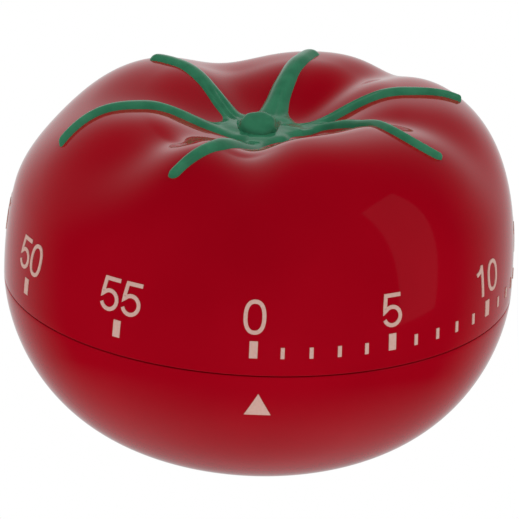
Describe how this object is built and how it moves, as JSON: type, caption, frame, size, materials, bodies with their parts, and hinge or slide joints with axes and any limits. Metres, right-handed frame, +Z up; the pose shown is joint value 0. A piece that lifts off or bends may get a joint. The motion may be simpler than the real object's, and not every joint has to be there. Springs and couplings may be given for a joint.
{
  "type": "kitchen timer",
  "caption": "Mechanical kitchen timer shaped like a tomato: lobed red turning dial with a raised green calyx over a round bowl, clockwork, bell and hammer inside.",
  "frame": {"origin": "centre of the foot ring on the surface that it stands on", "axes": "+Z up along the dial's axis; the index pointer and the 0 mark face -Y; +X to the right of someone facing the pointer"},
  "size_m": [0.0708, 0.0706, 0.0503],
  "materials": {
    "red_plastic": "glossy moulded ABS, deep tomato red",
    "green_paint": "glossy dark green paint on the moulded relief",
    "white_print": "warm white pad print",
    "steel": "turned steel",
    "plate_steel": "stamped and zinc plated steel sheet",
    "spring_steel": "blued spring steel",
    "bell_steel": "nickel plated steel",
    "brass": "stamped brass"
  },
  "bodies": {
    "base": {"lower_shell": "red_plastic", "index_pointer": "white_print", "lower_plate": "plate_steel", "upper_plate": "plate_steel", "plate_bushes": "brass", "plate_pillars": "steel", "pillar_nuts": "brass", "movement_screws": "steel", "mainspring": "spring_steel", "spring_post": "steel", "stop_pin": "steel", "bell": "bell_steel", "bell_post": "steel", "bell_screw": "steel", "hammer_spring": "spring_steel"},
    "dial": {"upper_shell": "red_plastic", "calyx": "green_paint", "dial_numerals": "white_print", "minute_ticks": "white_print", "main_arbor": "steel", "main_wheel": "brass", "clutch_spring": "spring_steel", "clutch_clip": "spring_steel", "strike_cam": "brass"},
    "second_gear": {"second_arbor": "steel", "second_wheel": "brass"},
    "third_gear": {"third_arbor": "steel", "third_wheel": "brass"},
    "escape_gear": {"escape_arbor": "steel", "escape_wheel": "brass"},
    "balance": {"anchor_arbor": "steel", "pallet_anchor": "brass", "pallet_pins": "steel", "balance_wheel": "brass"},
    "hammer": {"hammer_shaft": "steel", "hammer_head": "steel", "hammer_arm": "plate_steel", "follower_arm": "plate_steel"}
  },
  "joints": [
    {"name": "dial_turn", "type": "hinge", "parent": "base", "child": "dial", "pos_m": [0, 0, 0.024], "axis": [0, 0, 1], "range_deg": [-344, 0]},
    {"name": "second_turn", "type": "hinge", "parent": "base", "child": "second_gear", "pos_m": [-0.01316, -0.00479, 0.02], "axis": [0, 0, 1], "range_deg": [-1, 3097]},
    {"name": "third_turn", "type": "hinge", "parent": "base", "child": "third_gear", "pos_m": [-0.00658, -0.01258, 0.02], "axis": [0, 0, 1], "range_deg": [-23221, 1]},
    {"name": "escape_turn", "type": "hinge", "parent": "base", "child": "escape_gear", "pos_m": [0.00088, -0.01547, 0.02], "axis": [0, 0, 1], "range_deg": [-1, 162541]},
    {"name": "balance_swing", "type": "hinge", "parent": "base", "child": "balance", "pos_m": [0.00653, -0.0157, 0.03], "axis": [0, 0, 1], "range_deg": [-6, 6]},
    {"name": "hammer_swing", "type": "hinge", "parent": "base", "child": "hammer", "pos_m": [0.00925, 0.01602, 0.02], "axis": [0, 0, -1], "range_deg": [0, 6], "stiffness_Nm_per_rad": 0.002, "springref_deg": -2.86}
  ],
  "couplings": [
    {"joint": "second_turn", "follows": "dial_turn", "ratio": -9},
    {"joint": "third_turn", "follows": "dial_turn", "ratio": 67.5},
    {"joint": "escape_turn", "follows": "dial_turn", "ratio": -472.5}
  ]
}
